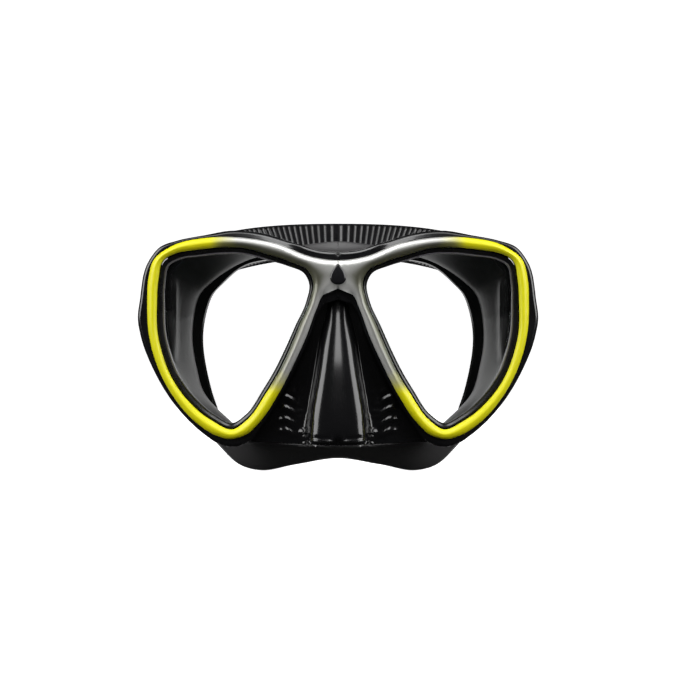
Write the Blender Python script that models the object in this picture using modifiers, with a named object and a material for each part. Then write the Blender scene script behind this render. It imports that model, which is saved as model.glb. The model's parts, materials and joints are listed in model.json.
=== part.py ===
"""Twin-lens snorkelling mask: frame, lenses, skirt, swivel buckles and head strap.

Metres, +Z up. The mask faces -Y, +X is the right-hand side seen from the front, and the
origin is under the middle of the object at its lowest point.
"""
import math

import bmesh
import bpy
import numpy as np
from mathutils import Vector

MM = 0.001

# Driving dimensions, in millimetres.
SWEEP = 0.158            # how far the front falls back for each mm away from the middle
RAKE = 0.087             # how far it falls back for each mm below the top of the bridge
BRIDGE_TOP = 94.0        # height of the frame's dip in the middle
SOFT_HALF = 13.0         # half width of the rounded middle of the bridge
LENS_CENTRE = (44.0, 60.0)

RING_STEPS = 52          # points round each lens opening
CORNER_ZONE = 12.0       # the rings follow their outlines closely this near the middle plane
CORNER_SKIP = 4
RISE_STEP = 0.004
GLASS_THICK = 3.0
GLASS_INSET = 0.5        # gap from the glass edge to the frame's hole
RETAINER_FRONT = (0.3, 1.5)
FRAME_FRONT = (-3.0, 1.5)
BEZEL_BACK = 1.8
BEZEL_DOME = 3.2
BEZEL_ROUND = 3.0        # distance from an edge at which the bezel reaches its full height
FRAME_ROLL = 1.5         # radius of the frame's rolled outer edge
EMBLEM_FRONT = (5.35, 6.4)
SKIRT_FRONT_FACE = -3.7
SKIRT_THICK = 1.9
STRAP_THICK = 2.2
STRAP_HALF_SIDE = 8.5
STRAP_HALF_BACK = 11.0
SLOT_SPAN = (0.16, 0.40)  # the two slots, as shares of the way round from each buckle
STRAP_SLOT = 1.5         # half height of the slots in the strap

PIVOT_Y = 26.0           # swivel axis of both buckles
PIVOT_Z = 66.0
STRAP_RISE = math.radians(19.5)
ROLLER_X = 77.5
ROLLER_E = 13.0
ROLLER_R = 2.6
RUN_START = 20.5         # where the strap and its tail begin inside the buckle
TAIL_END = 62.5          # free end of the strap's tail
LOOP_START = 32.0        # where the strap starts to curve round the head
LOOP_DEPTH = 84.0
LOOP_POWER = 0.85        # 1 makes the back loop an ellipse, less squares it off
STRAP_LEAN = math.radians(62.0)
LEVER_X = 83.2
LEVER_E = 8.8
CENTRE_Y = -68.8

CLEAR_EDGE = [
    (72.1, 59.1), (72.8, 71.2), (72.6, 80.3), (70.9, 88.2), (66.2, 90.7), (58.4, 91.9),
    (48.8, 93), (39.5, 92.8), (29.5, 90.4), (21.1, 87.9), (14.1, 84.7), (12.2, 80.8),
    (13.4, 73.2), (18, 62.8), (22.5, 52.8), (26.9, 43.9), (31.3, 36.4), (39.2, 25.3), (44.2, 22),
    (51.8, 25.5), (61, 33.7), (67.2, 43.2), (70.7, 53)]
BEZEL_OUTER = [
    (0, 90.4), (11.6, 92), (25.3, 97.3), (39.3, 99.8), (54.1, 99.9), (70.3, 96.1), (77.2, 90.9),
    (79.7, 82.4), (80.3, 74), (79.5, 59.1), (75.9, 45.8), (69.6, 33.7), (60.4, 22.9),
    (51.1, 16.8), (44.8, 15.3), (39, 16.9), (33, 22.4), (25.1, 34.2), (18.6, 46.9), (13.1, 59),
    (9, 70.1), (6.4, 75.6), (3.3, 77.9), (0, 78.5)]
FRAME_OUTER = [
    (0, 94), (7.4, 94.5), (19.8, 98.2), (31.7, 101.8), (44.7, 103), (56.8, 100.9), (66.9, 98.9),
    (75, 95.9), (79.8, 89.8), (83.4, 73.3), (84.3, 66.2), (82.8, 57.8), (77.5, 44.2),
    (69.3, 30.6), (55.8, 16.9), (50.9, 13.6), (45.1, 12), (37.5, 14.2), (31.5, 21.7),
    (23.7, 33.9), (17.1, 46.4), (11.7, 59), (7.6, 69.6), (4.5, 73.2), (0, 74)]
SKIRT_OUTER = [
    (0, 92.7), (14.9, 94.7), (40, 98.9), (57.1, 97.5), (68.2, 94.1), (74.3, 87.5), (75.8, 75.4),
    (75.5, 60.1), (73.2, 48.9), (66.5, 35.7), (58.5, 24.5), (45.3, 15.2), (30.1, 14),
    (13.1, 13.3), (0, 13.1)]
# Soft wall behind the skirt's outline: the angle about the lens centre at which each station
# leaves the outline, then the neck, the flared back edge and the sealing lip as (x, y, z).
SKIRT_WALL = [
    (142.8, (0, 27, 94), (0, 34, 99.9), (0, 35, 90)),
    (128.0, (17, 29, 95), (17, 36, 98.2), (17, 37, 92)),
    (100.0, (35, 34, 95), (38, 44, 97.0), (36.2, 43, 91)),
    (60.0, (56.2, 42, 84.6), (59.2, 54, 87.8), (51.3, 52, 81.5)),
    (25.0, (64.2, 45, 74.3), (67.2, 59, 74.8), (57.2, 56, 73)),
    (0.0, (66.3, 46, 60), (68.5, 61, 60), (59.8, 58, 61)),
    (-28.0, (64.4, 46, 45.5), (66.8, 60, 43.5), (58.8, 57, 47)),
    (-55.0, (59.3, 43, 31.5), (61, 55, 23.5), (54.0, 51, 29.5)),
    (-80.0, (47, 35, 19.5), (51.5, 50.5, 9.3), (48, 48, 19)),
    (-92.0, (41, 31.5, 14.0), (43.6, 47, 2.4), (41, 45.5, 14)),
    (-104.0, (34, 28, 10.5), (34, 43, 0), (33, 43, 10)),
    (-122.0, (17, 22, 10.8), (17, 38, 3), (17, 39, 10)),
    (-133.4, (0, 18, 12.2), (0, 35.5, 5.6), (0, 37, 13))]

COLOURS = {
    "black_frame": ((0.012, 0.012, 0.013), 0.25, 0.0),
    "black_ring": ((0.015, 0.015, 0.016), 0.35, 0.0),
    "bezel": ((0.80, 0.76, 0.04), 0.3, 0.2),
    "emblem": ((0.02, 0.02, 0.02), 0.3, 0.0),
    "silicone": ((0.02, 0.02, 0.021), 0.35, 0.0),
    "glass": ((0.92, 0.96, 0.95), 0.02, 0.0),
    "buckle_plastic": ((0.018, 0.018, 0.02), 0.4, 0.0),
    "steel": ((0.6, 0.6, 0.61), 0.3, 1.0)}


def clear_scene():
    """Remove every object of the start-up scene."""
    for thing in list(bpy.data.objects):
        bpy.data.objects.remove(thing, do_unlink=True)


def make_collection(name):
    """Return a new collection linked to the scene."""
    group = bpy.data.collections.new(name)
    bpy.context.scene.collection.children.link(group)
    return group


def make_material(name):
    """Return a Principled material with the named finish."""
    colour, roughness, metallic = COLOURS[name]
    material = bpy.data.materials.new(name)
    material.use_nodes = True
    shader = material.node_tree.nodes["Principled BSDF"]
    shader.inputs["Base Color"].default_value = (*colour, 1.0)
    shader.inputs["Roughness"].default_value = roughness
    shader.inputs["Metallic"].default_value = metallic
    material.diffuse_color = (*colour, 1.0)
    return material


def smooth_curve(keys, values, at):
    """Cubic curve through values at keys, with slopes taken from the neighbouring points."""
    keys = np.asarray(keys, float)
    values = np.asarray(values, float)
    slopes = np.gradient(values, keys, axis=0)
    place = np.clip(np.searchsorted(keys, at) - 1, 0, len(keys) - 2)
    step = keys[place + 1] - keys[place]
    t = (at - keys[place]) / step
    if values.ndim > 1:
        t, step = t[:, None], step[:, None]
    start, end = values[place], values[place + 1]
    rise_a, rise_b = slopes[place] * step, slopes[place + 1] * step
    return ((2 * t**3 - 3 * t**2 + 1) * start + (t**3 - 2 * t**2 + t) * rise_a
            + (3 * t**2 - 2 * t**3) * end + (t**3 - t**2) * rise_b)


def dense_outline(points, closed):
    """Smooth outline through the points, by distance along them.

    An open one goes on into its mirror image at both ends, so it crosses the middle plane level.
    """
    points = np.asarray(points, float)
    if closed:
        points = np.vstack([points[-3:], points, points[:3]])
    else:
        points = np.vstack([points[1] * (-1, 1), points, points[-2] * (-1, 1)])
    steps = np.hypot(*np.diff(points, axis=0).T)
    keys = np.concatenate([[0.0], np.cumsum(steps)])
    first, last = (keys[3], keys[-3]) if closed else (keys[1], keys[-2])
    at = np.linspace(first, last, 800)
    return smooth_curve(keys, points, at)


def lens_angle(points):
    """Angle of each point about the lens centre."""
    return np.arctan2(points[:, 1] - LENS_CENTRE[1], points[:, 0] - LENS_CENTRE[0])


def outline_radius(points, closed, angles):
    """Distance from the lens centre to an outline at each angle.

    An open outline starts and ends on the middle plane, and the plane itself closes it.
    """
    dense = dense_outline(points, closed)
    spin = np.unwrap(lens_angle(dense))
    reach = np.hypot(dense[:, 0] - LENS_CENTRE[0], dense[:, 1] - LENS_CENTRE[1])
    order = np.argsort(spin)
    spin, reach = spin[order], reach[order]
    lowest, highest = spin[0], spin[-1]
    turned = lowest + np.mod(angles - lowest + 1e-9, 2 * math.pi)
    if closed:
        return np.interp(turned, spin, reach, period=2 * math.pi)
    on_plane = turned > highest + 2e-9
    to_plane = LENS_CENTRE[0] / np.maximum(-np.cos(angles), 1e-6)
    return np.where(on_plane, to_plane, np.interp(turned, spin, reach))


def rising_angles(points):
    """Dense points of an open outline from its last to its first, and an angle for each.

    The angles are those about the lens centre, held to a rise of at least RISE_STEP a point.
    """
    outline = dense_outline(points, False)[::-1]
    climb = RISE_STEP * np.arange(len(outline))
    spin = np.unwrap(lens_angle(outline))
    return outline, np.maximum.accumulate(spin - climb) + climb


def outline_points(points, angles):
    """Points (x, z) of an open outline at the angles; between its ends, on the middle plane."""
    outline, spin = rising_angles(points)
    turned = spin[0] + np.mod(angles - spin[0] + 1e-9, 2 * math.pi)
    on_plane = turned > spin[-1] + 2e-9
    reach = LENS_CENTRE[0] / np.maximum(-np.cos(angles), 1e-6)
    x = np.where(on_plane, 0.0, np.interp(turned, spin, outline[:, 0]))
    z = np.where(on_plane, LENS_CENTRE[1] + reach * np.sin(angles),
                 np.interp(turned, spin, outline[:, 1]))
    return np.where(np.abs(x) < 0.01, 0.0, x), z


def ring_angles(count, points, zone=CORNER_ZONE):
    """Evenly spaced angles, and closely spaced ones where an open outline nears its ends."""
    even = np.linspace(-math.pi, math.pi, count, endpoint=False)
    outline, spin = rising_angles(points)
    near = (outline[:, 0] > 1) & (outline[:, 0] < zone)
    close = np.concatenate([spin[:1], spin[near][::CORNER_SKIP], spin[-1:]])
    close = np.mod(close + math.pi, 2 * math.pi) - math.pi
    apart = np.abs(np.mod(even[:, None] - close + math.pi, 2 * math.pi) - math.pi).min(axis=1)
    return np.sort(np.concatenate([even[apart > math.pi / count], close]))


def around(angles, radius):
    """Points (x, z) at a radius about the lens centre."""
    x = LENS_CENTRE[0] + radius * np.cos(angles)
    z = LENS_CENTRE[1] + radius * np.sin(angles)
    return np.where(np.abs(x) < 0.01, 0.0, x), z


def front_y(x, z, forward):
    """Y of a point that lies `forward` mm in front of the lens planes and their soft bridge."""
    x = np.abs(x)
    soft = np.where(x < SOFT_HALF, x * x / (2 * SOFT_HALF) + SOFT_HALF / 2, x)
    return SWEEP * (soft - SOFT_HALF / 2) + RAKE * (BRIDGE_TOP - z) - forward


def nose_bump(x, z):
    """How far the nose pocket stands forward of the skirt's front sheet."""
    height = smooth_curve([10, 20, 36, 52, 64, 72, 80], [15.5, 16.0, 14.0, 10.0, 3.5, 0.0, 0.0],
                          np.clip(z, 10, 72))
    half = smooth_curve([10, 20, 40, 60, 80], [14.5, 13.5, 11.0, 8.5, 7.0], np.clip(z, 10, 80))
    across = np.clip((np.abs(x) / half - 0.35) / 0.65, 0, 1)
    return height * (0.5 + 0.5 * np.cos(math.pi * across))


def add_object(name, mesh, group, material):
    """Put a mesh in the model as a named object with its finish."""
    mesh.materials.clear()
    mesh.materials.append(material)
    thing = bpy.data.objects.new(name, mesh)
    group.objects.link(thing)
    return thing


def skin_grid(name, points, group, material, wrap=(False, False), missing=None, facing=None):
    """Object whose faces join a grid of points; faces on the middle plane are left out.

    facing is a direction that the first face must look to, for a sheet that isn't closed.
    """
    rows, columns = points.shape[:2]
    shell = bmesh.new()
    verts = [[shell.verts.new(p * MM) for p in row] for row in points]
    for i in range(rows if wrap[0] else rows - 1):
        for j in range(columns if wrap[1] else columns - 1):
            a, b = (i + 1) % rows, (j + 1) % columns
            corner = (verts[i][j], verts[a][j], verts[a][b], verts[i][b])
            flat = all(abs(v.co.x) < 1e-8 for v in corner)
            if not flat and not (missing is not None and missing[i, j]):
                shell.faces.new(corner)
    loose = [v for v in shell.verts if not v.link_faces]
    bmesh.ops.delete(shell, geom=loose, context="VERTS")
    bmesh.ops.recalc_face_normals(shell, faces=shell.faces)
    shell.faces.ensure_lookup_table()
    if facing is not None and shell.faces[0].normal.dot(facing) < 0:
        bmesh.ops.reverse_faces(shell, faces=shell.faces)
    mesh = bpy.data.meshes.new(name)
    shell.to_mesh(mesh)
    shell.free()
    return add_object(name, mesh, group, material)


def mirror_halves(thing):
    """Complete a half that is open at the middle plane."""
    mirror = thing.modifiers.new("Mirror", "MIRROR")
    mirror.merge_threshold = 0.00001


def smooth_shade(thing, degrees=35.0):
    """Shade a piece smooth except at its sharp edges."""
    thing.data.shade_smooth()
    thing.data.set_sharp_from_angle(angle=math.radians(degrees))


def edge_round(x, z, edges, radius):
    """Quarter-round rise from 0 at the nearest edge to 1 at a distance of radius from it."""
    spots = np.stack([x.ravel(), z.ravel()], axis=-1)
    apart = np.hypot(*(spots[:, None, :] - np.vstack(edges)[None]).transpose(2, 0, 1))
    near = np.minimum(apart.min(axis=1).reshape(x.shape) / radius, 1)
    return np.sqrt(1 - (1 - near) ** 2)


def ring_body(name, inner, outer, profile, angles, group, material, side=0, lift=None):
    """Ring lofted from an inner to an outer outline, each an (x, z) pair of arrays.

    profile is a closed list of (share of the way outwards, mm forward). lift adds mm forward to
    the points whose forward is None, as a function of x and z. side 0 makes the whole two-eyed
    ring by mirroring, +1 or -1 only that side's.
    """
    share = np.array([p[0] for p in profile])[:, None]
    x, z = (start + (end - start) * share for start, end in zip(inner, outer))
    forward = np.stack([lift(x[k], z[k]) if p[1] is None else np.full(x.shape[1], p[1])
                        for k, p in enumerate(profile)])
    points = np.stack([x, front_y(x, z, forward), z], axis=-1)
    if side:
        points[..., 0] *= side
    thing = skin_grid(name, points, group, material, wrap=(True, True))
    if side == 0:
        mirror_halves(thing)
    smooth_shade(thing)
    return thing


def bezel_inner_radius(angles):
    """Inner edge of the bezel: the clear edge plus the retainer's width."""
    return outline_radius(CLEAR_EDGE, True, angles) + 2.7 + 0.9 * np.cos(angles)


def make_lens(side, name, group, material):
    """Flat glass pane of one side."""
    angles = ring_angles(RING_STEPS, FRAME_OUTER)
    x, z = around(angles, bezel_inner_radius(angles) - GLASS_INSET)
    y = SWEEP * (x - SOFT_HALF / 2) + RAKE * (BRIDGE_TOP - z)
    front = np.column_stack([side * x, y, z]) * MM
    shell = bmesh.new()
    loop = [shell.verts.new(p) for p in front]
    face = shell.faces.new(loop)
    grown = bmesh.ops.extrude_face_region(shell, geom=[face])
    moved = [v for v in grown["geom"] if isinstance(v, bmesh.types.BMVert)]
    bmesh.ops.translate(shell, verts=moved, vec=(0, GLASS_THICK * MM, 0))
    bmesh.ops.recalc_face_normals(shell, faces=shell.faces)
    mesh = bpy.data.meshes.new(name)
    shell.to_mesh(mesh)
    shell.free()
    return add_object(name, mesh, group, material)


def make_retainer(side, name, group, material):
    """Black ring that holds the glass edge of one side."""
    angles = ring_angles(RING_STEPS, FRAME_OUTER)
    back, front = RETAINER_FRONT
    profile = [(0, back), (0, front - 0.6), (0.25, front), (1, front), (1, back)]
    inner = around(angles, outline_radius(CLEAR_EDGE, True, angles))
    outer = around(angles, bezel_inner_radius(angles) - GLASS_INSET)
    return ring_body(name, inner, outer, profile, angles, group, material, side)


def make_main_frame(group, material):
    """Rigid frame with two lens holes and a bridge."""
    angles = ring_angles(RING_STEPS, FRAME_OUTER)
    back, front = FRAME_FRONT
    edge = dense_outline(FRAME_OUTER, False)

    def lift(x, z):
        return front - FRAME_ROLL * (1 - edge_round(x, z, [edge], FRAME_ROLL))

    profile = [(0, back), (0, front), (0.6, None), (0.88, None), (1, None), (1, back)]
    inner = around(angles, bezel_inner_radius(angles))
    outer = outline_points(FRAME_OUTER, angles)
    return ring_body("main_frame", inner, outer, profile, angles, group, material, lift=lift)


def make_bezel(group, material):
    """Domed trim ring over both lenses."""
    angles = ring_angles(RING_STEPS, BEZEL_OUTER)
    inner = around(angles, bezel_inner_radius(angles))
    outer = outline_points(BEZEL_OUTER, angles)
    every = np.linspace(-math.pi, math.pi, 400)
    edges = [dense_outline(BEZEL_OUTER, False)[::4],
             np.column_stack(around(every, bezel_inner_radius(every)))]

    def lift(x, z):
        return BEZEL_BACK + BEZEL_DOME * (0.3 + 0.7 * edge_round(x, z, edges, BEZEL_ROUND))

    profile = [(0, BEZEL_BACK), (0, None), (0.18, None), (0.5, None), (0.82, None), (1, None),
               (1, BEZEL_BACK)]
    return ring_body("front_bezel", inner, outer, profile, angles, group, material, lift=lift)


def make_emblem(group, material):
    """Small drop-shaped badge on the bridge."""
    turn = np.linspace(0, 2 * math.pi, 20, endpoint=False)
    x = 3.2 * np.sin(turn) * (1 - 0.45 * np.cos(turn))
    z = 84.6 + 4.4 * np.cos(turn)
    back, front = EMBLEM_FRONT
    rows = [np.column_stack([x, front_y(x, z, f), z]) for f in (back, front)]
    thing = skin_grid("bridge_emblem", np.array(rows), group, material, wrap=(False, True))
    shell = bmesh.new()
    shell.from_mesh(thing.data)
    bmesh.ops.holes_fill(shell, edges=shell.edges)
    bmesh.ops.recalc_face_normals(shell, faces=shell.faces)
    shell.to_mesh(thing.data)
    shell.free()
    return thing


def with_ghosts(stations):
    """Stations with a mirrored one past each end, so that the rim crosses the middle level."""
    table = np.array(stations, float)
    return np.vstack([table[1] * (-1, 1, 1), table, table[-2] * (-1, 1, 1)])


def skirt_points(angles, front_steps, wall_steps):
    """Half of the skirt as a grid: the front sheet, then the wall back to the sealing lip."""
    inner = outline_radius(CLEAR_EDGE, True, angles) + 0.6
    outer = outline_radius(SKIRT_OUTER, False, angles)
    share = np.linspace(0, 1, front_steps + 1)[:, None]
    x, z = around(angles, inner + (outer - inner) * share)
    sheet = np.stack([x, front_y(x, z, SKIRT_FRONT_FACE) - nose_bump(x, z), z], axis=-1)
    first, last = (a % (2 * math.pi) for a in lens_angle(np.array([(0, 92.5), (0, 13.5)])))
    walled = ~((angles % (2 * math.pi) > first + 1e-6) & (angles % (2 * math.pi) < last - 1e-6))
    keys = np.radians([row[0] for row in SKIRT_WALL])[::-1]
    lowest = keys[0]
    turned = np.clip(lowest + np.mod(angles - lowest + 1e-3, 2 * math.pi) - 1e-3, lowest, keys[-1])
    ghost_keys = np.concatenate([[2 * keys[0] - keys[1]], keys, [2 * keys[-1] - keys[-2]]])
    rims = [sheet[-1]]
    for part in (1, 2, 3):
        rim = smooth_curve(ghost_keys, with_ghosts([row[part] for row in SKIRT_WALL][::-1]), turned)
        rim[sheet[-1, :, 0] == 0.0, 0] = 0.0
        rims.append(rim)
    steps = np.linspace(0, 3, 3 * wall_steps + 1)[1:]
    stack = np.array(rims)
    wall = smooth_curve(np.arange(4.0), stack.reshape(4, -1), steps)
    wall = wall.reshape(len(steps), len(angles), 3)
    return np.concatenate([sheet, wall]), walled


def make_skirt(group, material):
    """Soft skirt: front sheet with the nose pocket, wall and inward sealing lip."""
    angles = ring_angles(48, SKIRT_OUTER, 0)
    front_steps = 5
    points, walled = skirt_points(angles, front_steps, 2)
    gap = ~(walled & np.roll(walled, -1))
    missing = np.zeros(points.shape[:2], bool)
    missing[front_steps:, :] = gap[None, :]
    thing = skin_grid("skirt", points, group, material, wrap=(False, True), missing=missing,
                      facing=Vector((0, -1, 0)))
    mirror_halves(thing)
    solid = thing.modifiers.new("Solidify", "SOLIDIFY")
    solid.thickness = SKIRT_THICK * MM
    solid.offset = -1.0
    smooth_shade(thing)
    return thing


def strap_point(along, across):
    """Point of the strap's sheet in the buckle frame.

    along runs from 0 at the right buckle to 1 at the left one, across from -1 to 1. The loop is
    a straight run, half a squared-off ellipse and a straight run; its back panel leans outwards.
    """
    straight = LOOP_START - RUN_START
    half_width = ROLLER_X - ROLLER_R - 0.3 - STRAP_THICK / 2
    share = 0.09
    phi = math.pi * np.clip((along - share) / (1 - 2 * share), 0, 1)
    lead = np.clip(np.minimum(along, 1 - along) / share, 0, 1)
    across_loop, along_loop = np.abs(np.cos(phi)), np.abs(np.sin(phi))
    side = np.sign(np.cos(phi))
    x = half_width * side * across_loop ** LOOP_POWER
    e = RUN_START + straight * lead + LOOP_DEPTH * along_loop ** LOOP_POWER
    lean = STRAP_LEAN * along_loop
    half = STRAP_HALF_SIDE + (STRAP_HALF_BACK - STRAP_HALF_SIDE) * np.sin(phi) ** 2
    out_x = side * across_loop ** (2 - LOOP_POWER) * LOOP_DEPTH
    out_e = along_loop ** (2 - LOOP_POWER) * half_width
    length = np.hypot(out_x, out_e)
    shift = across * half * np.sin(lean)
    return np.stack([x + shift * out_x / length, e + shift * out_e / length,
                     across * half * np.cos(lean)], axis=-1)


def to_world(points):
    """Turn points (x, along the strap, across it) of the buckle frame into the mask's frame."""
    e, w = points[..., 1], points[..., 2]
    y = PIVOT_Y + e * math.cos(STRAP_RISE) - w * math.sin(STRAP_RISE)
    z = PIVOT_Z + e * math.sin(STRAP_RISE) + w * math.cos(STRAP_RISE)
    return np.stack([points[..., 0], y, z], axis=-1)


def make_strap(group, material):
    """Head strap with a long slot on each side."""
    along = np.linspace(0, 1, 41)
    across = np.array([-1, -STRAP_SLOT / STRAP_HALF_BACK, STRAP_SLOT / STRAP_HALF_BACK, 1])
    grid = to_world(strap_point(along[:, None], across[None, :]))
    missing = np.zeros(grid.shape[:2], bool)
    nearer = np.minimum(along, 1 - along)
    inside = (nearer > SLOT_SPAN[0]) & (nearer < SLOT_SPAN[1])
    split = inside[:-1] & inside[1:]
    missing[:-1, 1] = split
    thing = skin_grid("strap", grid, group, material, missing=missing)
    solid = thing.modifiers.new("Solidify", "SOLIDIFY")
    solid.thickness = STRAP_THICK * MM
    solid.offset = 0.0
    smooth_shade(thing)
    return thing


class Side:
    """One side's swivel buckle and what it carries, about an empty on the swivel axis."""

    def __init__(self, sign, label, group, cutters, finishes):
        self.sign = sign
        self.label = label
        self.group = group
        self.cutters = cutters
        self.finishes = finishes
        self.hub = bpy.data.objects.new(label + "_swivel_axis", None)
        self.hub.location = (0, PIVOT_Y * MM, PIVOT_Z * MM)
        self.hub.rotation_euler = (STRAP_RISE, 0, 0)
        group.objects.link(self.hub)

    def name(self, piece):
        """Node name of one of this side's pieces."""
        return self.label + "_" + piece

    def place(self, thing, finish):
        """Name a fresh primitive's finish and hang it on the hub."""
        for owner in list(thing.users_collection):
            owner.objects.unlink(thing)
        self.group.objects.link(thing)
        thing.data.materials.append(self.finishes[finish])
        thing.parent = self.hub
        return thing

    def block(self, piece, low, high, finish):
        """Box between two corners given as (x, along, across)."""
        mesh = bpy.data.meshes.new(piece)
        shell = bmesh.new()
        bmesh.ops.create_cube(shell, size=1.0)
        low, high = np.array(low, float), np.array(high, float)
        for v in shell.verts:
            spot = (low + high) / 2 + np.array(v.co) * (high - low)
            v.co = (spot[0] * self.sign * MM, spot[1] * MM, spot[2] * MM)
        bmesh.ops.recalc_face_normals(shell, faces=shell.faces)
        shell.to_mesh(mesh)
        shell.free()
        thing = bpy.data.objects.new(self.name(piece), mesh)
        self.group.objects.link(thing)
        return self.place(thing, finish)

    def rod(self, piece, centre, radius, length, axis, finish, sides=16):
        """Cylinder with its centre at (x, along, across)."""
        spot = (centre[0] * self.sign * MM, centre[1] * MM, centre[2] * MM)
        turn = (0, math.pi / 2, 0) if axis == "X" else (0, 0, 0)
        bpy.ops.mesh.primitive_cylinder_add(vertices=sides, radius=radius * MM,
                                            depth=length * MM, location=spot, rotation=turn)
        thing = bpy.context.active_object
        thing.name = self.name(piece)
        thing.data.name = thing.name
        return self.place(thing, finish)

    def combine(self, thing, other, operation):
        """Add or cut with a helper solid, which the model then hides."""
        for owner in list(other.users_collection):
            owner.objects.unlink(other)
        self.cutters.objects.link(other)
        other.hide_render = True
        other.display_type = "WIRE"
        boolean = thing.modifiers.new(operation.title(), "BOOLEAN")
        boolean.operation = operation
        boolean.solver = "EXACT"
        boolean.object = other

    def fork_outline(self):
        """Outline of the buckle body across its cheeks: a U open towards the back."""
        nose, wall, back, half = 5.4, 6.9, 31.0, 10.9
        return [(nose, -7.5), (nose, 7.5), (nose + 3.4, half), (back - 2, half), (back, half - 1.2),
                (back, half - 2), (wall, half - 2), (wall, 2 - half), (back, 2 - half),
                (back, 1.2 - half), (back - 2, -half), (nose + 3.4, -half)]

    def make_body(self):
        """Buckle body: two cheeks, a nose wall and the tongue that the swivel pin goes through."""
        mesh = bpy.data.meshes.new(self.name("buckle_body"))
        shell = bmesh.new()
        low, high = 72.2, 84.7
        loop = [shell.verts.new((low * self.sign * MM, e * MM, w * MM))
                for e, w in self.fork_outline()]
        grown = bmesh.ops.extrude_face_region(shell, geom=[shell.faces.new(loop)])
        moved = [v for v in grown["geom"] if isinstance(v, bmesh.types.BMVert)]
        bmesh.ops.translate(shell, verts=moved, vec=((high - low) * self.sign * MM, 0, 0))
        bmesh.ops.recalc_face_normals(shell, faces=shell.faces)
        shell.to_mesh(mesh)
        shell.free()
        body = bpy.data.objects.new(self.name("buckle_body"), mesh)
        self.group.objects.link(body)
        self.place(body, "buckle_plastic")
        tongue = self.block("tongue", (76.2, 0, -4), (78.9, 6.2, 4), "buckle_plastic")
        knuckle = self.rod("knuckle", (77.55, 0, 0), 4.0, 2.7, "X", "buckle_plastic", 20)
        self.combine(body, tongue, "UNION")
        self.combine(body, knuckle, "UNION")
        self.combine(body, self.rod("pivot_cut", (77.5, 0, 0), 1.95, 8, "X", "steel"), "DIFFERENCE")
        roller_cut = self.rod("roller_cut", (ROLLER_X, ROLLER_E, 0), 1.35, 30, "Z", "steel", 12)
        lever_cut = self.rod("lever_cut", (LEVER_X, LEVER_E, 0), 1.1, 30, "Z", "steel", 12)
        self.combine(body, roller_cut, "DIFFERENCE")
        self.combine(body, lever_cut, "DIFFERENCE")
        return body

    def make_bracket(self):
        """Lug behind the frame: a base plate and the ear that holds the swivel pin."""
        turn = -STRAP_RISE
        base = self.block("buckle_bracket", (76.3, -7.6, -6.5), (82.3, -5.4, 6.5), "buckle_plastic")
        ear = self.block("ear", (79.3, -6.0, -4), (81.7, 0, 4), "buckle_plastic")
        for thing in (base, ear):
            thing.rotation_euler = (turn, 0, 0)
        boss = self.rod("boss", (80.5, 0, 0), 4.0, 2.4, "X", "buckle_plastic", 20)
        self.combine(base, ear, "UNION")
        self.combine(base, boss, "UNION")
        self.combine(base, self.rod("ear_cut", (80.5, 0, 0), 1.95, 8, "X", "steel"), "DIFFERENCE")
        return base

    def make_swivel_pin(self):
        """Headed pin on the swivel axis."""
        pin = self.rod("swivel_pin", (78.85, 0, 0), 1.6, 6.5, "X", "steel")
        self.combine(pin, self.rod("pin_head", (82.7, 0, 0), 3.0, 1.4, "X", "steel"), "UNION")
        self.combine(pin, self.rod("pin_end", (75.2, 0, 0), 2.7, 1.2, "X", "steel"), "UNION")
        return pin

    def make_roller(self):
        """Roller that the strap turns round, with its pin."""
        roller = self.rod("roller", (ROLLER_X, ROLLER_E, 0), ROLLER_R, 16.8, "Z", "buckle_plastic", 20)
        bore = self.rod("bore", (ROLLER_X, ROLLER_E, 0), 1.15, 20, "Z", "steel", 12)
        self.combine(roller, bore, "DIFFERENCE")
        self.rod("roller_pin", (ROLLER_X, ROLLER_E, 0), 1.0, 21.2, "Z", "steel", 12)

    def make_lever(self):
        """Release lever over the tail, its pin and its coil spring."""
        lever = self.block("release_lever", (83.0, LEVER_E, -8.4), (84.7, 31.5, 8.4), "buckle_plastic")
        knuckle = self.rod("lever_knuckle", (LEVER_X, LEVER_E, 0), 1.5, 16.8, "Z", "buckle_plastic")
        self.combine(lever, knuckle, "UNION")
        tip = self.block("tip", (84.2, 29.0, -6.5), (85.2, 31.5, 6.5), "buckle_plastic")
        self.combine(lever, tip, "UNION")
        bore = self.rod("lever_bore", (LEVER_X, LEVER_E, 0), 1.0, 20, "Z", "steel", 12)
        self.combine(lever, bore, "DIFFERENCE")
        notch = self.block("notch", (80, 5, -3), (90, 11.6, 3), "buckle_plastic")
        self.combine(lever, notch, "DIFFERENCE")
        self.rod("lever_pin", (LEVER_X, LEVER_E, 0), 0.8, 21.2, "Z", "steel", 12)
        self.make_spring()

    def make_spring(self):
        """Coil spring round the lever's pin."""
        turns, steps, reach = 4, 10, 1.3
        count = turns * steps + 1
        curve = bpy.data.curves.new(self.name("lever_spring"), "CURVE")
        curve.dimensions = "3D"
        curve.bevel_depth = 0.28 * MM
        curve.bevel_resolution = 1
        curve.use_fill_caps = True
        wire = curve.splines.new("POLY")
        wire.points.add(count - 1)
        for k, point in enumerate(wire.points):
            turn = 2 * math.pi * k / steps
            x = (LEVER_X + reach * math.cos(turn)) * self.sign
            w = -2.2 + 4.4 * k / (count - 1)
            point.co = (x * MM, (LEVER_E + reach * math.sin(turn)) * MM, w * MM, 1)
        spring = bpy.data.objects.new(self.name("lever_spring"), curve)
        self.group.objects.link(spring)
        self.place(spring, "steel")

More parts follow.
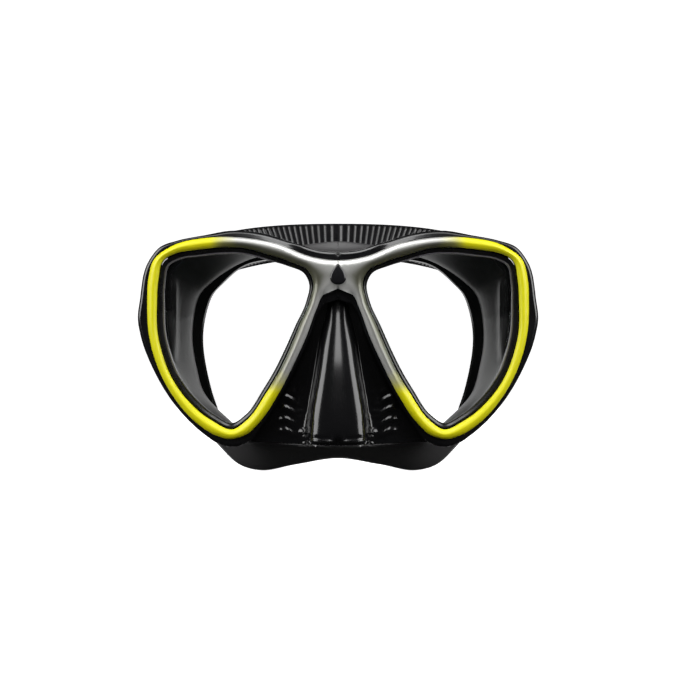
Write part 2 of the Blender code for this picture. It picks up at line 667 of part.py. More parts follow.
    def make_turn(self):
        """The strap's half turn round the roller."""
        angles = np.linspace(-math.pi / 2, math.pi / 2, 13)
        reach = ROLLER_R + 0.3 + STRAP_THICK / 2
        x = ROLLER_X + reach * np.sin(angles)
        e = ROLLER_E - reach * np.cos(angles)
        grid = np.stack([np.stack([self.sign * x, e, np.full_like(x, w)], axis=-1)
                         for w in (-8.4, 8.4)], axis=1)
        turn = skin_grid(self.name("strap_turn"), grid, self.group, self.finishes["silicone"])
        turn.parent = self.hub
        solid = turn.modifiers.new("Solidify", "SOLIDIFY")
        solid.thickness = STRAP_THICK * MM
        solid.offset = 0.0

    def make_tail_and_keeper(self):
        """Free end of the strap outside the main run, and the loop that holds it."""
        tail_x = ROLLER_X + ROLLER_R + 0.3 + STRAP_THICK / 2
        low = (tail_x - STRAP_THICK / 2, RUN_START, -8.4)
        high = (tail_x + STRAP_THICK / 2, TAIL_END, 8.4)
        tail = self.block("strap_tail", low, high, "silicone")
        self.round_end(tail)
        pad = self.block("tail_pad", (high[0] - 0.5, TAIL_END - 8.0, -6.5),
                         (high[0] + 0.8, TAIL_END - 1.0, 6.5), "silicone")
        self.combine(tail, pad, "UNION")
        keeper = self.block("strap_keeper", (69.2, 38, -10.8), (84.2, 44, 10.8), "silicone")
        cut = self.block("keeper_cut", (70.4, 35, -9.2), (82.95, 47, 9.2), "silicone")
        self.combine(keeper, cut, "DIFFERENCE")

    def round_end(self, tail):
        """Round the tail's free corners in its own plane."""
        bevel = tail.modifiers.new("Bevel", "BEVEL")
        bevel.width = 4.0 * MM
        bevel.segments = 4
        bevel.limit_method = "WEIGHT"
        weights = tail.data.attributes.new("bevel_weight_edge", "FLOAT", "EDGE")
        back = max(v.co.y for v in tail.data.vertices)
        for edge in tail.data.edges:
            ends = [tail.data.vertices[k].co for k in edge.vertices]
            across_thickness = abs(ends[0].x - ends[1].x) > 1e-6
            at_back = all(abs(end.y - back) < 1e-6 for end in ends)
            weights.data[edge.index].value = 1.0 if across_thickness and at_back else 0.0

    def build(self):
        """Make all of this side's pieces."""
        self.make_bracket()
        self.make_swivel_pin()
        self.make_body()
        self.make_roller()
        self.make_lever()
        self.make_turn()
        self.make_tail_and_keeper()


def hang_on(root, group):
    """Parent every free object of a collection to the root empty."""
    for thing in group.objects:
        if thing is not root and thing.parent is None:
            thing.parent = root


def main():
    """Build the mask."""
    clear_scene()
    group = make_collection("snorkel_mask")
    cutters = make_collection("cutters")
    finishes = {name: make_material(name) for name in COLOURS}
    root = bpy.data.objects.new("mask_origin", None)
    group.objects.link(root)
    for sign, label in ((1, "right"), (-1, "left")):
        make_lens(sign, label + "_lens", group, finishes["glass"])
        make_retainer(sign, label + "_lens_retainer", group, finishes["black_ring"])
        Side(sign, label, group, cutters, finishes).build()
    make_main_frame(group, finishes["black_frame"])
    make_bezel(group, finishes["bezel"])
    make_emblem(group, finishes["emblem"])
    make_skirt(group, finishes["silicone"])
    make_strap(group, finishes["silicone"])
    hang_on(root, group)
    root.location = (0, CENTRE_Y * MM, 0)


main()
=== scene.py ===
"""Looks of a twin-lens snorkelling mask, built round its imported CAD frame.

Every shape is a surface worked out on a grid of two parameters, in millimetres about the
mask's own bridge, then put into metres in the frame's axes. +X is the right-hand side seen
from the front, the lenses face -Y and +Z is up.
"""

import json
import logging
import math
from dataclasses import dataclass, field
from enum import Enum
from typing import Callable, Optional, Sequence, Union

import bmesh
import bpy
import numpy as np
from mathutils.kdtree import KDTree
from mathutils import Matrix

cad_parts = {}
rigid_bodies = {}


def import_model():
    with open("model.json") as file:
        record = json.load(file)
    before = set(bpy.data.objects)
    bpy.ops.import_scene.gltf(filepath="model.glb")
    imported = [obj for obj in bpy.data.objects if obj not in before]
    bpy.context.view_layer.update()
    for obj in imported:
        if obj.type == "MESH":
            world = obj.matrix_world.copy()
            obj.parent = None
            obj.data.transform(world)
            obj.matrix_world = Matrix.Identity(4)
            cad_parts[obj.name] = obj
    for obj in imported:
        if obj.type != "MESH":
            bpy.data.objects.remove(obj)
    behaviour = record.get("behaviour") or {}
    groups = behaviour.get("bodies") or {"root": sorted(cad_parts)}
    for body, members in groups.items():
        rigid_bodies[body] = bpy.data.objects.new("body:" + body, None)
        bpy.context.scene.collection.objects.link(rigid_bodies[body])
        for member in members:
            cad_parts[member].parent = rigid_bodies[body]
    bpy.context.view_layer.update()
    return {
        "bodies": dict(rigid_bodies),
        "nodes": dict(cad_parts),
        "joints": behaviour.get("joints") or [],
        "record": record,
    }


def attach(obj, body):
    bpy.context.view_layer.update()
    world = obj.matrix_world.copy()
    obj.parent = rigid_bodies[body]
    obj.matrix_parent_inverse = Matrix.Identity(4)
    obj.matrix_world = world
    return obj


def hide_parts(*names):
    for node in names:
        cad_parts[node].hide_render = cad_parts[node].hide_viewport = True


LOG = logging.getLogger("snorkel_mask")
MM = 0.001

Number = Union[int, float]
Colour = tuple[float, float, float]


# --------------------------------------------------------------------------- curves and outlines


def smooth_curve(keys: Sequence[float], values: np.ndarray, at: np.ndarray) -> np.ndarray:
    """Cubic curve through values at keys, with slopes taken from the neighbouring points.

    Args:
        keys: Rising parameters of the points.
        values: One value, or one row of values, for each key.
        at: Parameters to read the curve at, one axis.

    Returns:
        The curve's value, or row of values, at each parameter.
    """
    keys = np.asarray(keys, float)
    values = np.asarray(values, float)
    slopes = np.gradient(values, keys, axis=0)
    place = np.clip(np.searchsorted(keys, at) - 1, 0, len(keys) - 2)
    step = keys[place + 1] - keys[place]
    t = (at - keys[place]) / step
    if values.ndim > 1:
        t, step = t[:, None], step[:, None]
    return ((2 * t**3 - 3 * t**2 + 1) * values[place] + (t**3 - 2 * t**2 + t) * slopes[place] * step
            + (3 * t**2 - 2 * t**3) * values[place + 1] + (t**3 - t**2) * slopes[place + 1] * step)


def smooth_step(low: Number, high: Number, value: np.ndarray) -> np.ndarray:
    """Rise from 0 at low to 1 at high with level ends; low may be the larger."""
    t = np.clip((value - low) / (high - low), 0, 1)
    return t * t * (3 - 2 * t)


def bump(middle: Number, half: Number, value: np.ndarray) -> np.ndarray:
    """Cosine hump of height 1 at middle that is gone at middle plus or minus half."""
    return 0.5 + 0.5 * np.cos(math.pi * np.clip((value - middle) / half, -1, 1))


@dataclass(frozen=True)
class Outline:
    """Smooth outline about one lens, as (x, z) points in millimetres.

    A closed one runs round the lens. An open one starts and ends on the middle plane, and the
    plane itself closes it.
    """

    points: tuple[tuple[float, float], ...]
    closed: bool
    centre: tuple[float, float] = (44.0, 60.0)
    climb: float = 0.002

    def dense(self) -> np.ndarray:
        """Return 1600 points along the outline, by distance.

        An open one goes on into its mirror image at both ends, so it crosses the plane level.
        """
        pts = np.asarray(self.points, float)
        if self.closed:
            pts = np.vstack([pts[-3:], pts, pts[:3]])
        else:
            pts = np.vstack([pts[1] * (-1, 1), pts, pts[-2] * (-1, 1)])
        keys = np.concatenate([[0.0], np.cumsum(np.hypot(*np.diff(pts, axis=0).T))])
        first, last = (keys[3], keys[-3]) if self.closed else (keys[1], keys[-2])
        return smooth_curve(keys, pts, np.linspace(first, last, 1600))

    def angle_of(self, points: np.ndarray) -> np.ndarray:
        """Angle of each point about the lens centre."""
        return np.arctan2(points[:, 1] - self.centre[1], points[:, 0] - self.centre[0])

    def radius(self, angles: np.ndarray) -> np.ndarray:
        """Distance from the lens centre to a closed outline at each angle."""
        dense = self.dense()
        spin = np.unwrap(self.angle_of(dense))
        reach = np.hypot(dense[:, 0] - self.centre[0], dense[:, 1] - self.centre[1])
        order = np.argsort(spin)
        return np.interp(angles, spin[order], reach[order], period=2 * math.pi)

    def rising(self) -> tuple[np.ndarray, np.ndarray]:
        """Dense points of an open outline from its last to its first, and an angle for each.

        The angles are those about the lens centre, held to a rise of at least climb a point, so
        that the flat arch over the nose, which no ray crosses twice in order, keeps its shape.
        """
        dense = self.dense()[::-1]
        climb = self.climb * np.arange(len(dense))
        return dense, np.maximum.accumulate(np.unwrap(self.angle_of(dense)) - climb) + climb

    def outer(self, angles: np.ndarray) -> tuple[np.ndarray, np.ndarray]:
        """Points (x, z) of an open outline at the angles; between its ends, on the plane."""
        dense, spin = self.rising()
        turned = spin[0] + np.mod(angles - spin[0] + 1e-9, 2 * math.pi)
        on_plane = turned > spin[-1] + 2e-9
        reach = self.centre[0] / np.maximum(-np.cos(angles), 1e-6)
        x = np.where(on_plane, 0.0, np.interp(turned, spin, dense[:, 0]))
        z = np.where(on_plane, self.centre[1] + reach * np.sin(angles),
                     np.interp(turned, spin, dense[:, 1]))
        return np.where(np.abs(x) < 0.01, 0.0, x), z

    def angles(self, count: int, skip: int = 5) -> np.ndarray:
        """Evenly spaced angles, with close ones where an open outline nears its ends.

        Args:
            count: Number of evenly spaced angles.
            skip: Dense points between the close ones.

        Returns:
            Sorted angles in radians.
        """
        even = np.linspace(-math.pi, math.pi, count, endpoint=False)
        if self.closed:
            return even
        dense, spin = self.rising()
        near = (dense[:, 0] > 1) & (dense[:, 0] < 12)
        close = np.concatenate([spin[:1], spin[near][::skip], spin[-1:]])
        close = np.mod(close + math.pi, 2 * math.pi) - math.pi
        apart = np.abs(np.mod(even[:, None] - close + math.pi, 2 * math.pi) - math.pi).min(axis=1)
        return np.sort(np.concatenate([even[apart > math.pi / count], close]))

    def place(self, angles: np.ndarray, radius: np.ndarray) -> tuple[np.ndarray, np.ndarray]:
        """Points (x, z) at a radius about the lens centre; x within 0.01 mm of 0 becomes 0."""
        x = self.centre[0] + radius * np.cos(angles)
        return np.where(np.abs(x) < 0.01, 0.0, x), self.centre[1] + radius * np.sin(angles)


CLEAR_EDGE = Outline((
    (73, 59.2), (73.6, 71.4), (73.4, 80.6), (71.6, 88.5), (66.8, 91), (58.8, 92.2), (49.1, 93.2),
    (39.7, 93), (29.6, 90.5), (21.1, 88), (14.1, 84.7), (12.2, 80.8), (13.4, 73.2), (18.1, 62.8),
    (22.6, 52.8), (27.1, 43.8), (31.6, 36.3), (39.6, 25), (44.7, 21.7), (52.4, 25.2),
    (61.8, 33.5), (68.1, 43.1), (71.6, 53)), True)
BEZEL_OUTER = Outline((
    (0, 90.3), (11.6, 91.9), (25.3, 97.3), (39.4, 99.9), (54.3, 100.1), (70.8, 96.4),
    (77.9, 91.2), (80.5, 82.7), (81, 74.2), (80.4, 59.2), (76.8, 45.7), (70.5, 33.5),
    (61.1, 22.5), (51.7, 16.4), (45.3, 14.9), (39.3, 16.6), (33.2, 22.2), (25.2, 34.1),
    (18.6, 46.9), (13.1, 59), (9, 70.1), (6.4, 75.6), (3.3, 77.9), (0, 78.5)), False)
FRAME_OUTER = Outline((
    (0, 94), (7.4, 94.5), (19.8, 98.3), (31.8, 101.9), (44.9, 103.2), (57.2, 101.2), (67.4, 99.3),
    (75.8, 96.3), (80.7, 90.2), (84.5, 73.6), (85.4, 66.4), (84, 57.9), (78.7, 44.1),
    (70.4, 30.3), (56.6, 16.4), (51.6, 13.1), (45.7, 11.5), (37.9, 13.8), (31.7, 21.4),
    (23.9, 33.8), (17.2, 46.4), (11.7, 59), (7.6, 69.6), (4.5, 73.2), (0, 74)), False)
SKIRT_OUTER = Outline((
    (0, 92.9), (15, 94.9), (40.4, 99.3), (57.8, 98), (69.2, 94.7), (75.5, 88), (77.1, 75.8),
    (76.9, 60.2), (74.5, 48.8), (67.8, 35.4), (59.6, 24), (46.1, 14.6), (30.5, 13.4),
    (13.3, 12.8), (0, 12.7)), False)


@dataclass(frozen=True)
class FrontPlane:
    """The two lens planes and the soft bridge between them."""

    sweep: float = 0.158
    rake: float = 0.087
    top: float = 94.0
    soft: float = 13.0
    shift_y: float = -68.8

    def y(self, x: np.ndarray, z: np.ndarray, forward: Union[Number, np.ndarray]) -> np.ndarray:
        """Y of a point `forward` mm in front of the planes.

        Each half is a plane that falls back by sweep with |x| and by rake below the top. Within
        soft mm of the middle |x| gives way to a parabola with the same slope at its ends.
        """
        x = np.abs(x)
        eased = np.where(x < self.soft, x * x / (2 * self.soft) + self.soft / 2, x)
        return self.sweep * (eased - self.soft / 2) + self.rake * (self.top - z) - forward


FRONT = FrontPlane()


# --------------------------------------------------------------------------- meshes


class Piece:
    """Makes named mesh objects from grids of points in millimetres."""

    @staticmethod
    def put(name: str, shell: bmesh.types.BMesh, smooth: float = 40.0) -> bpy.types.Object:
        """Turn a bmesh into an object at the origin.

        Args:
            name: Name of the piece.
            shell: Mesh in metres, in the frame's axes.
            smooth: Edges sharper than this many degrees stay sharp.

        Returns:
            The new object.
        """
        mesh = bpy.data.meshes.new(name)
        shell.to_mesh(mesh)
        shell.free()
        mesh.shade_smooth()
        mesh.set_sharp_from_angle(angle=math.radians(smooth))
        thing = bpy.data.objects.new(name, mesh)
        bpy.context.scene.collection.objects.link(thing)
        return thing

    @staticmethod
    def grid(name: str, points: np.ndarray, wrap: tuple[bool, bool] = (False, False),
             keep: Optional[np.ndarray] = None, mirror: bool = False, cap: bool = False,
             thick: float = 0.0, facing: Optional[tuple[float, float, float]] = None,
             smooth: float = 40.0, shade: Optional[np.ndarray] = None) -> bpy.types.Object:
        """Join a grid of points with four-sided faces.

        Args:
            name: Name of the piece.
            points: Rows by columns by (x, y, z), in millimetres of the mask's own frame.
            wrap: Whether the rows and the columns close on themselves.
            keep: True for each face that is made; all of them if not given.
            mirror: Add the other half across the middle plane.
            cap: Close the open ends with flat faces.
            thick: Wall thickness in millimetres, grown against the faces' direction.
            facing: Direction that the first face looks to, for a sheet.
            smooth: Edges sharper than this many degrees stay sharp.
            shade: One number for each point, kept as the attribute "shade".

        Returns:
            The new object.
        """
        rows, columns = points.shape[:2]
        index = np.arange(rows * columns).reshape(rows, columns)
        right = np.roll(index, -1, axis=1) if wrap[1] else index[:, 1:]
        left = index if wrap[1] else index[:, :-1]
        quads = np.stack([left[:-1], np.roll(left, -1, axis=0)[:-1],
                          np.roll(right, -1, axis=0)[:-1], right[:-1]], axis=-1)
        if wrap[0]:
            last = np.stack([left[-1], left[0], right[0], right[-1]], axis=-1)
            quads = np.concatenate([quads, last[None]])
        flat = points.reshape(-1, 3)
        made = np.any(np.abs(flat[quads][..., 0]) > 1e-6, axis=-1) if mirror else \
            np.ones(quads.shape[:2], bool)
        if keep is not None:
            made &= keep[:quads.shape[0], :quads.shape[1]]
        faces = quads[made]
        mesh = bpy.data.meshes.new(name)
        shifted = (flat + (0.0, FRONT.shift_y, 0.0)) * MM
        mesh.from_pydata(shifted.tolist(), [], faces.tolist())
        if shade is not None:
            layer = mesh.attributes.new("shade", "FLOAT", "POINT")
            layer.data.foreach_set("value", np.asarray(shade, np.float32).ravel())
        shell = bmesh.new()
        shell.from_mesh(mesh)
        bpy.data.meshes.remove(mesh)
        bmesh.ops.delete(shell, geom=[v for v in shell.verts if not v.link_faces], context="VERTS")
        if cap:
            bmesh.ops.holes_fill(shell, edges=[e for e in shell.edges if e.is_boundary])
        bmesh.ops.recalc_face_normals(shell, faces=shell.faces)
        shell.faces.ensure_lookup_table()
        if facing is not None and shell.faces[0].normal.dot(facing) < 0:
            bmesh.ops.reverse_faces(shell, faces=shell.faces)
        thing = Piece.put(name, shell, smooth)
        if mirror:
            half = thing.modifiers.new("Mirror", "MIRROR")
            half.merge_threshold = 0.000002
        if thick:
            wall = thing.modifiers.new("Wall", "SOLIDIFY")
            wall.thickness = thick * MM
            wall.offset = -1.0
            wall.use_even_offset = True
        if mirror or thick:
            Piece.settle(thing, smooth)
        return thing

    @staticmethod
    def settle(thing: bpy.types.Object, smooth: float = 40.0) -> None:
        """Apply a piece's modifiers and shade it again."""
        bpy.context.view_layer.update()
        graph = bpy.context.evaluated_depsgraph_get()
        mesh = bpy.data.meshes.new_from_object(thing.evaluated_get(graph))
        thing.modifiers.clear()
        old = thing.data
        thing.data = mesh
        bpy.data.meshes.remove(old)
        mesh.name = thing.name
        mesh.shade_smooth()
        mesh.set_sharp_from_angle(angle=math.radians(smooth))

    @staticmethod
    def round_edges(thing: bpy.types.Object, width: float, segments: int = 3,
                    angle: float = 38.0) -> None:
        """Round a piece's sharp edges by a width in millimetres."""
        bevel = thing.modifiers.new("Rounding", "BEVEL")
        bevel.width = width * MM
        bevel.segments = segments
        bevel.limit_method = "ANGLE"
        bevel.angle_limit = math.radians(angle)
        bevel.harden_normals = True


Edge = tuple[np.ndarray, np.ndarray]


def between(inner: Edge, outer: Edge, shares: np.ndarray) -> Edge:
    """Points (x, z) at shares of the way from an inner edge to an outer one, a row for each."""
    shares = np.asarray(shares, float)[:, None]
    x, z = (start + (end - start) * shares for start, end in zip(inner, outer))
    return x, z


def ring_grid(inner: Edge, outer: Edge, profile: Sequence[tuple[float, float]]) -> np.ndarray:
    """Carry a profile round a lens, between two edges.

    Args:
        inner: Inner edge, one (x, z) for each column.
        outer: Outer edge, the same.
        profile: (share of the way from inner to outer, mm forward) round the section.

    Returns:
        Grid of points: one row for each profile point, one column for each edge point.
    """
    section = np.asarray(profile, float)
    x, z = between(inner, outer, section[:, 0])
    return np.stack([x, FRONT.y(x, z, section[:, 1:]), z], axis=-1)


def gap_to(x: np.ndarray, z: np.ndarray, edge: np.ndarray) -> np.ndarray:
    """Distance in millimetres from each place to the nearest point of a dense edge."""
    near = KDTree(len(edge))
    for k, (edge_x, edge_z) in enumerate(edge):
        near.insert((edge_x, edge_z, 0.0), k)
    near.balance()
    apart = [near.find((px, pz, 0.0))[2] for px, pz in zip(x.ravel(), z.ravel())]
    return np.reshape(apart, x.shape)


def quarter_round(apart: np.ndarray, radius: float) -> np.ndarray:
    """Rise of a quarter circle from 0 at an edge to 1 at `radius` mm from it."""
    return np.sqrt(1 - (1 - np.minimum(apart / radius, 1)) ** 2)


def bezel_inner(angles: np.ndarray) -> np.ndarray:
    """Radius of the bezel's inner edge: the clear edge plus the retainer's width."""
    return CLEAR_EDGE.radius(angles) + 2.7 + 0.9 * np.cos(angles)


# --------------------------------------------------------------------------- shader maths


class Term:
    """A shader socket, or a plain number, that adds Math nodes when it is used in sums."""

    def __init__(self, tree: "Tree", value: Union[bpy.types.NodeSocket, Number]) -> None:
        """Wrap a socket or number of one tree."""
        self.tree = tree
        self.value = value

    def _do(self, operation: str, *others: Union["Term", Number]) -> "Term":
        """Return the result of one Math operation on this term and others."""
        inputs = {k: v for k, v in enumerate((self, *others))}
        return self.tree.node("ShaderNodeMath", {"operation": operation}, inputs)

    def __add__(self, other: Union["Term", Number]) -> "Term":
        """Sum."""
        return self._do("ADD", other)

    def __sub__(self, other: Union["Term", Number]) -> "Term":
        """Difference."""
        return self._do("SUBTRACT", other)

    def __rsub__(self, other: Number) -> "Term":
        """Difference from a number."""
        return Term(self.tree, other)._do("SUBTRACT", self)

    def __mul__(self, other: Union["Term", Number]) -> "Term":
        """Product."""
        return self._do("MULTIPLY", other)

    def __truediv__(self, other: Union["Term", Number]) -> "Term":
        """Quotient."""
        return self._do("DIVIDE", other)

    __radd__ = __add__
    __rmul__ = __mul__

    def size(self) -> "Term":
        """Absolute value."""
        return self._do("ABSOLUTE")

    def wave(self) -> "Term":
        """Sine."""
        return self._do("SINE")

    def most(self, other: Union["Term", Number]) -> "Term":
        """Larger of two."""
        return self._do("MAXIMUM", other)

    def least(self, other: Union["Term", Number]) -> "Term":
        """Smaller of two."""
        return self._do("MINIMUM", other)

    def ramp(self, low: Number, high: Number) -> "Term":
        """Smooth rise from 0 at low to 1 at high; low may be the larger."""
        settings = {"interpolation_type": "SMOOTHSTEP"}
        inputs = {0: self, 1: min(low, high), 2: max(low, high)}
        rise = self.tree.node("ShaderNodeMapRange", settings, inputs)
        return rise if low < high else 1 - rise


class Tree:
    """One material's node tree, ending in a Principled shader."""

    def __init__(self, name: str) -> None:
        """Start a material with a Principled shader."""
        self.material = bpy.data.materials.new(name)
        self.material.use_nodes = True
        self.nodes = self.material.node_tree.nodes
        self.links = self.material.node_tree.links
        self.shader = self.nodes["Principled BSDF"]

    def node(self, kind: str, settings: dict, inputs: dict, output: Union[int, str] = 0) -> Term:
        """Add any node.

        Args:
            kind: Node type.
            settings: Node properties, set before its sockets.
            inputs: Socket name or number to a Term, socket, number or tuple.
            output: Output socket to return.

        Returns:
            The output as a Term.
        """
        made = self.nodes.new(kind)
        for key, value in settings.items():
            setattr(made, key, value)
        for key, value in inputs.items():
            self.feed(made.inputs[key], value)
        return Term(self, made.outputs[output])

    def feed(self, socket: bpy.types.NodeSocket, value: object) -> None:
        """Link or set one socket."""
        if isinstance(value, Term):
            value = value.value
        if isinstance(value, bpy.types.NodeSocket):
            self.links.new(value, socket)
        else:
            socket.default_value = value

    def place(self) -> Term:
        """Object coordinates, in metres."""
        return self.node("ShaderNodeTexCoord", {}, {}, "Object")

    def axes(self) -> tuple[Term, Term, Term]:
        """Object coordinates as three numbers, in millimetres."""
        split = self.nodes.new("ShaderNodeSeparateXYZ")
        self.feed(split.inputs[0], self.place())
        return tuple(Term(self, out) * (1 / MM) for out in split.outputs)

    def attribute(self, name: str) -> Term:
        """A number kept on the mesh's points."""
        return self.node("ShaderNodeAttribute", {"attribute_name": name}, {}, "Fac")

    def noise(self, scale: float, detail: float = 3.0) -> Term:
        """Noise between 0 and 1; scale is in cells for each metre."""
        return self.node("ShaderNodeTexNoise", {}, {"Vector": self.place(), "Scale": scale,
                                                    "Detail": detail})

    def blend(self, share: Term, first: object, second: object) -> Term:
        """Mix of two colours by a share from 0 to 1."""
        inputs = {0: share, 6: self.colour(first), 7: self.colour(second)}
        return self.node("ShaderNodeMix", {"data_type": "RGBA"}, inputs, 2)

    @staticmethod
    def colour(value: object) -> object:
        """A colour as four numbers, or a term as it is."""
        return (*value, 1.0) if isinstance(value, tuple) and len(value) == 3 else value

    def relief(self, height: Term, depth: float, strength: float = 1.0) -> None:
        """Feed a height from 0 to 1, depth in millimetres, to the normal."""
        inputs = {"Height": height, "Distance": depth * MM, "Strength": strength}
        self.set(Normal=self.node("ShaderNodeBump", {}, inputs))

    def set(self, **sockets: object) -> None:
        """Set Principled sockets; underscores in the names stand for spaces."""
        for name, value in sockets.items():
            self.feed(self.shader.inputs[name.replace("_", " ")], self.colour(value))


class Slot(Enum):
    """The record's material slots."""

    FRAME = "frame_black"
    RING = "ring_black"
    BEZEL = "bezel_paint"
    EMBLEM = "emblem_black"
    SILICONE = "silicone_black"
    GLASS = "lens_glass"
    BUCKLE = "buckle_plastic"
    STEEL = "steel"


@dataclass(frozen=True)
class MouldedBlack:
    """Black moulded plastic or badge: near-black with faint mould grain and handling marks."""

    name: str
    base: Colour = (0.0040, 0.0040, 0.0045)
    # edge is the colour of a painted highlight, mixed in where the shade attribute rises.
    edge: Colour = (0.11, 0.105, 0.115)
    rough: float = 0.16
    grain: float = 0.003
    coat: float = 0.35

    def make(self) -> bpy.types.Material:
        """Return the material; where the mesh's "shade" rises to 1 a painted highlight lightens the
        moulding.
        """
        tree = Tree(self.name)
        painted_highlight = tree.attribute("shade").ramp(0.2, 0.9)
        cloud = tree.noise(90.0, 4.0)
        fine = tree.noise(2600.0, 2.0)
        lighter = tuple(c * 1.8 for c in self.base)
        moulded = tree.blend(cloud.ramp(0.35, 0.75), self.base, lighter)
        tree.set(Base_Color=tree.blend(painted_highlight, moulded, self.edge),
                 Roughness=self.rough + cloud * 0.08 + fine * 0.03,
                 Coat_Weight=self.coat, Coat_Roughness=0.08, IOR=1.5)
        tree.relief(fine, self.grain)
        return tree.material


@dataclass(frozen=True)
class BezelPaint:
    """Satin silver flake paint on the bridge and nose arms that turns to bright yellow.

    The silver carries painted shade and a painted highlight: it darkens to olive towards the lens
    edge and is brightest towards the outer edge.
    """

    silver: Colour = (0.62, 0.62, 0.60)
    olive: Colour = (0.105, 0.105, 0.075)
    yellow: Colour = (0.77, 0.73, 0.0)
    side_start: float = 41.0
    side_end: float = 55.0
    arm_start: float = 45.0
    arm_end: float = 34.0

    def make(self) -> bpy.types.Material:
        """Return the material; "shade" runs from 0 at the lens edge to 1 at the outer edge."""
        tree = Tree("bezel_paint")
        x, _, z = tree.axes()
        across = tree.attribute("shade")
        side = x.size().ramp(self.side_start, self.side_end)
        arm = z.ramp(self.arm_start, self.arm_end)
        yellow = side.most(arm)
        flake = tree.noise(5200.0, 1.0)
        drift = tree.noise(60.0, 3.0)
        # Painted shade and highlight: olive at the lens edge, bright silver towards the outer edge;
        # the olive in the change to yellow is also stronger towards the lens.
        painted_lit_share = (across + drift * 0.08).ramp(0.30, 0.80)
        silver = tree.blend(flake.ramp(0.3, 0.7), tuple(c * 0.86 for c in self.silver), self.silver)
        shaded_silver = tree.blend(painted_lit_share, self.olive, silver)
        deep = tree.blend(drift.ramp(0.3, 0.7), tuple(c * 0.96 for c in self.yellow), self.yellow)
        muddy_and_shaded = tree.blend((yellow * (1 - yellow) * 4 * (1 - painted_lit_share * 0.6)) * 0.7, deep, self.olive)
        tree.set(Base_Color=tree.blend(yellow, shaded_silver, muddy_and_shaded),
                 Metallic=(1 - yellow) * 0.45,
                 Roughness=0.32 + yellow * 0.12 + flake * 0.05,
                 Coat_Weight=0.35 - yellow * 0.25, Coat_Roughness=0.14)
        tree.relief(flake, 0.003, 0.5)
        return tree.material


@dataclass(frozen=True)
class Silicone:
    """Black liquid-moulded silicone: glossy outside, satin inside, with a faint moulded grain; the
    satin skin carries painted light, painted shade and a painted highlight.
    """

    name: str = "silicone_black"
    base: Colour = (0.0045, 0.0045, 0.005)
    # inside is the satin skin painted lighter, partly its frosted finish and partly painted light;
    # deep is its painted shade.
    inside: Colour = (0.210, 0.206, 0.210)
    deep: Colour = (0.045, 0.044, 0.045)
    painted_highlight_grey: Colour = (0.42, 0.42, 0.42)
    rough: float = 0.13
    inside_rough: float = 0.34

    def make(self) -> bpy.types.Material:
        """Return the material; "shade" is 0 on gloss skin, 1 on satin skin, more where a painted
        highlight runs.
        """
        tree = Tree(self.name)
        shade = tree.attribute("shade")
        satin = shade.most(0.0).least(1.0)
        cloud = tree.noise(70.0, 4.0)
        fine = tree.noise(3000.0, 2.0)
        dusty = tuple(c * 1.5 for c in self.base)
        gloss = tree.blend(cloud.ramp(0.4, 0.8), self.base, dusty)
        _, _, z = tree.axes()
        # Painted light and shade on the satin skin: the inside colour from z 25 mm up to about 70
        # mm, with a noisy top edge, and the darker deep colour above and below.
        painted_lit_band = (z + tree.noise(110.0, 2.0) * 9.0).ramp(74.0, 70.0) * z.ramp(17.0, 25.0)
        matt_painted_shade = tree.blend(painted_lit_band, self.deep, self.inside)
        soft = tree.blend(shade.ramp(1.0, 1.8), matt_painted_shade, self.painted_highlight_grey)
        tree.set(Base_Color=tree.blend(satin, gloss, soft),
                 Roughness=self.rough + satin * (self.inside_rough - self.rough) + cloud * 0.06,
                 Coat_Weight=(1 - satin) * 0.25, Coat_Roughness=0.12, IOR=1.43,
                 Specular_IOR_Level=0.55)
        tree.relief(fine, 0.003)
        return tree.material


@dataclass(frozen=True)
class LensGlass:
    """Clear tempered glass: see-through face on, mirror-like at a glance, green at its edge."""

    tint: Colour = (0.86, 0.95, 0.92)

    def make(self) -> bpy.types.Material:
        """Return the material."""
        tree = Tree("lens_glass")
        bounce = tree.node("ShaderNodeFresnel", {}, {"IOR": 1.45})
        smear = tree.noise(45.0, 4.0)
        tree.set(Base_Color=self.tint, Metallic=1.0, Roughness=0.02 + smear * 0.02,
                 Alpha=(bounce * 0.9 + 0.004).least(1.0))
        return tree.material


@dataclass(frozen=True)
class Stainless:
    """Brushed stainless steel of pins and springs."""

    base: Colour = (0.56, 0.56, 0.57)

    def make(self) -> bpy.types.Material:
        """Return the material."""
        tree = Tree("stainless")
        _, y, _ = tree.axes()
        line = (y * 41.0 + tree.noise(900.0) * 6.0).wave() * 0.5 + 0.5
        tree.set(Base_Color=self.base, Metallic=1.0, Roughness=0.24 + line * 0.14)
        tree.relief(line, 0.004)
        return tree.material


@dataclass
class Palette:
    """The finishes, each made once."""

    made: dict[Slot, bpy.types.Material] = field(default_factory=dict)

    def get(self, slot: Slot) -> bpy.types.Material:
        """Return a slot's material, making it the first time."""
        makers: dict[Slot, Callable[[], bpy.types.Material]] = {
            Slot.FRAME: MouldedBlack("frame_black").make,
            Slot.RING: MouldedBlack("ring_black", rough=0.22).make,
            Slot.BEZEL: BezelPaint().make,
            Slot.EMBLEM: MouldedBlack("emblem_black", base=(0.004, 0.004, 0.005), rough=0.25).make,
            Slot.SILICONE: Silicone().make,
            Slot.GLASS: LensGlass().make,
            Slot.BUCKLE: MouldedBlack("buckle_plastic", base=(0.008, 0.008, 0.009), rough=0.34,
                                      grain=0.02, coat=0.0).make,
            Slot.STEEL: Stainless().make}
        if slot not in self.made:
            self.made[slot] = makers[slot]()
        return self.made[slot]

    def dress(self, thing: bpy.types.Object, slot: Slot) -> None:
        """Give a piece its slot's finish."""
        thing.data.materials.clear()
        thing.data.materials.append(self.get(slot))


